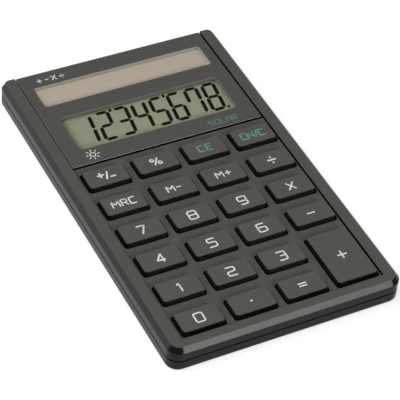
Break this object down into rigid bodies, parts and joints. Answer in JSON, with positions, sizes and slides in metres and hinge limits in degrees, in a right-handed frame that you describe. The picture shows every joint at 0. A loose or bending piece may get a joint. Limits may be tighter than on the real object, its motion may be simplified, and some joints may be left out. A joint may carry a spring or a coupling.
{
  "type": "pocket calculator",
  "caption": "Slim dark grey pocket calculator with a solar strip, a slanted-digit liquid crystal display and raised keys sunk between two side rails.",
  "frame": {"origin": "middle of the flat base", "axes": "+X to the right of the keypad, +Y towards the display end, +Z out of the face"},
  "size_m": [0.068, 0.112, 0.0087],
  "materials": {
    "case_plastic": "fine satin grain",
    "panel_plastic": "fine satin, printed",
    "key_plastic": "black body with a grey painted top",
    "solar_glass": "polished, brown cells",
    "clear_lens": "clear",
    "display_glass": "clear",
    "polariser": "grey-green film",
    "reflector": "satin silver film",
    "contact_rubber": "striped elastomer",
    "board": "phenolic board",
    "mat_rubber": "moulded silicone",
    "epoxy": "cast resin",
    "ceramic_body": "fired",
    "cell_steel": "nickel plated",
    "contact_brass": "sprung strip",
    "screw_steel": "zinc plated",
    "lead_red": "insulated",
    "lead_black": "insulated",
    "tape": "adhesive film"
  },
  "bodies": {
    "case": {"upper_case": "case_plastic", "lower_case": "case_plastic", "display_panel": "panel_plastic", "panel_tape": "tape", "solar_cell": "solar_glass", "display_lens": "clear_lens", "lcd_front_polariser": "polariser", "lcd_front_glass": "display_glass", "lcd_rear_glass": "display_glass", "lcd_reflector": "reflector", "lcd_contact_strip": "contact_rubber", "circuit_board": "board", "key_mat": "mat_rubber", "chip_blob": "epoxy", "chip_capacitors": "ceramic_body", "button_cell": "cell_steel", "positive_contact": "contact_brass", "negative_contact": "contact_brass", "solar_lead_positive": "lead_red", "solar_lead_negative": "lead_black", "case_screws": "screw_steel", "board_screws": "screw_steel"},
    "key_sign_cap": {"key_sign": "key_plastic"},
    "key_percent_cap": {"key_percent": "key_plastic"},
    "key_ce_cap": {"key_ce": "key_plastic"},
    "key_on_c_cap": {"key_on_c": "key_plastic"},
    "key_mrc_cap": {"key_mrc": "key_plastic"},
    "key_m_minus_cap": {"key_m_minus": "key_plastic"},
    "key_m_plus_cap": {"key_m_plus": "key_plastic"},
    "key_divide_cap": {"key_divide": "key_plastic"},
    "key_7_cap": {"key_7": "key_plastic"},
    "key_8_cap": {"key_8": "key_plastic"},
    "key_9_cap": {"key_9": "key_plastic"},
    "key_multiply_cap": {"key_multiply": "key_plastic"},
    "key_4_cap": {"key_4": "key_plastic"},
    "key_5_cap": {"key_5": "key_plastic"},
    "key_6_cap": {"key_6": "key_plastic"},
    "key_minus_cap": {"key_minus": "key_plastic"},
    "key_1_cap": {"key_1": "key_plastic"},
    "key_2_cap": {"key_2": "key_plastic"},
    "key_3_cap": {"key_3": "key_plastic"},
    "key_plus_cap": {"key_plus": "key_plastic"},
    "key_0_cap": {"key_0": "key_plastic"},
    "key_point_cap": {"key_point": "key_plastic"},
    "key_equals_cap": {"key_equals": "key_plastic"}
  },
  "joints": [
    {"name": "key_sign_press", "type": "slide", "parent": "case", "child": "key_sign_cap", "axis": [0, 0, 1], "range_m": [-0.0008, 0], "stiffness_N_per_m": 700, "springref_m": 0.0004, "deforming": ["key_mat"]},
    {"name": "key_percent_press", "type": "slide", "parent": "case", "child": "key_percent_cap", "axis": [0, 0, 1], "range_m": [-0.0008, 0], "stiffness_N_per_m": 700, "springref_m": 0.0004, "deforming": ["key_mat"]},
    {"name": "key_ce_press", "type": "slide", "parent": "case", "child": "key_ce_cap", "axis": [0, 0, 1], "range_m": [-0.0008, 0], "stiffness_N_per_m": 700, "springref_m": 0.0004, "deforming": ["key_mat"]},
    {"name": "key_on_c_press", "type": "slide", "parent": "case", "child": "key_on_c_cap", "axis": [0, 0, 1], "range_m": [-0.0008, 0], "stiffness_N_per_m": 700, "springref_m": 0.0004, "deforming": ["key_mat"]},
    {"name": "key_mrc_press", "type": "slide", "parent": "case", "child": "key_mrc_cap", "axis": [0, 0, 1], "range_m": [-0.0008, 0], "stiffness_N_per_m": 700, "springref_m": 0.0004, "deforming": ["key_mat"]},
    {"name": "key_m_minus_press", "type": "slide", "parent": "case", "child": "key_m_minus_cap", "axis": [0, 0, 1], "range_m": [-0.0008, 0], "stiffness_N_per_m": 700, "springref_m": 0.0004, "deforming": ["key_mat"]},
    {"name": "key_m_plus_press", "type": "slide", "parent": "case", "child": "key_m_plus_cap", "axis": [0, 0, 1], "range_m": [-0.0008, 0], "stiffness_N_per_m": 700, "springref_m": 0.0004, "deforming": ["key_mat"]},
    {"name": "key_divide_press", "type": "slide", "parent": "case", "child": "key_divide_cap", "axis": [0, 0, 1], "range_m": [-0.0008, 0], "stiffness_N_per_m": 700, "springref_m": 0.0004, "deforming": ["key_mat"]},
    {"name": "key_7_press", "type": "slide", "parent": "case", "child": "key_7_cap", "axis": [0, 0, 1], "range_m": [-0.0008, 0], "stiffness_N_per_m": 700, "springref_m": 0.0004, "deforming": ["key_mat"]},
    {"name": "key_8_press", "type": "slide", "parent": "case", "child": "key_8_cap", "axis": [0, 0, 1], "range_m": [-0.0008, 0], "stiffness_N_per_m": 700, "springref_m": 0.0004, "deforming": ["key_mat"]},
    {"name": "key_9_press", "type": "slide", "parent": "case", "child": "key_9_cap", "axis": [0, 0, 1], "range_m": [-0.0008, 0], "stiffness_N_per_m": 700, "springref_m": 0.0004, "deforming": ["key_mat"]},
    {"name": "key_multiply_press", "type": "slide", "parent": "case", "child": "key_multiply_cap", "axis": [0, 0, 1], "range_m": [-0.0008, 0], "stiffness_N_per_m": 700, "springref_m": 0.0004, "deforming": ["key_mat"]},
    {"name": "key_4_press", "type": "slide", "parent": "case", "child": "key_4_cap", "axis": [0, 0, 1], "range_m": [-0.0008, 0], "stiffness_N_per_m": 700, "springref_m": 0.0004, "deforming": ["key_mat"]},
    {"name": "key_5_press", "type": "slide", "parent": "case", "child": "key_5_cap", "axis": [0, 0, 1], "range_m": [-0.0008, 0], "stiffness_N_per_m": 700, "springref_m": 0.0004, "deforming": ["key_mat"]},
    {"name": "key_6_press", "type": "slide", "parent": "case", "child": "key_6_cap", "axis": [0, 0, 1], "range_m": [-0.0008, 0], "stiffness_N_per_m": 700, "springref_m": 0.0004, "deforming": ["key_mat"]},
    {"name": "key_minus_press", "type": "slide", "parent": "case", "child": "key_minus_cap", "axis": [0, 0, 1], "range_m": [-0.0008, 0], "stiffness_N_per_m": 700, "springref_m": 0.0004, "deforming": ["key_mat"]},
    {"name": "key_1_press", "type": "slide", "parent": "case", "child": "key_1_cap", "axis": [0, 0, 1], "range_m": [-0.0008, 0], "stiffness_N_per_m": 700, "springref_m": 0.0004, "deforming": ["key_mat"]},
    {"name": "key_2_press", "type": "slide", "parent": "case", "child": "key_2_cap", "axis": [0, 0, 1], "range_m": [-0.0008, 0], "stiffness_N_per_m": 700, "springref_m": 0.0004, "deforming": ["key_mat"]},
    {"name": "key_3_press", "type": "slide", "parent": "case", "child": "key_3_cap", "axis": [0, 0, 1], "range_m": [-0.0008, 0], "stiffness_N_per_m": 700, "springref_m": 0.0004, "deforming": ["key_mat"]},
    {"name": "key_plus_press", "type": "slide", "parent": "case", "child": "key_plus_cap", "axis": [0, 0, 1], "range_m": [-0.0008, 0], "stiffness_N_per_m": 700, "springref_m": 0.0004, "deforming": ["key_mat"]},
    {"name": "key_0_press", "type": "slide", "parent": "case", "child": "key_0_cap", "axis": [0, 0, 1], "range_m": [-0.0008, 0], "stiffness_N_per_m": 700, "springref_m": 0.0004, "deforming": ["key_mat"]},
    {"name": "key_point_press", "type": "slide", "parent": "case", "child": "key_point_cap", "axis": [0, 0, 1], "range_m": [-0.0008, 0], "stiffness_N_per_m": 700, "springref_m": 0.0004, "deforming": ["key_mat"]},
    {"name": "key_equals_press", "type": "slide", "parent": "case", "child": "key_equals_cap", "axis": [0, 0, 1], "range_m": [-0.0008, 0], "stiffness_N_per_m": 700, "springref_m": 0.0004, "deforming": ["key_mat"]}
  ]
}
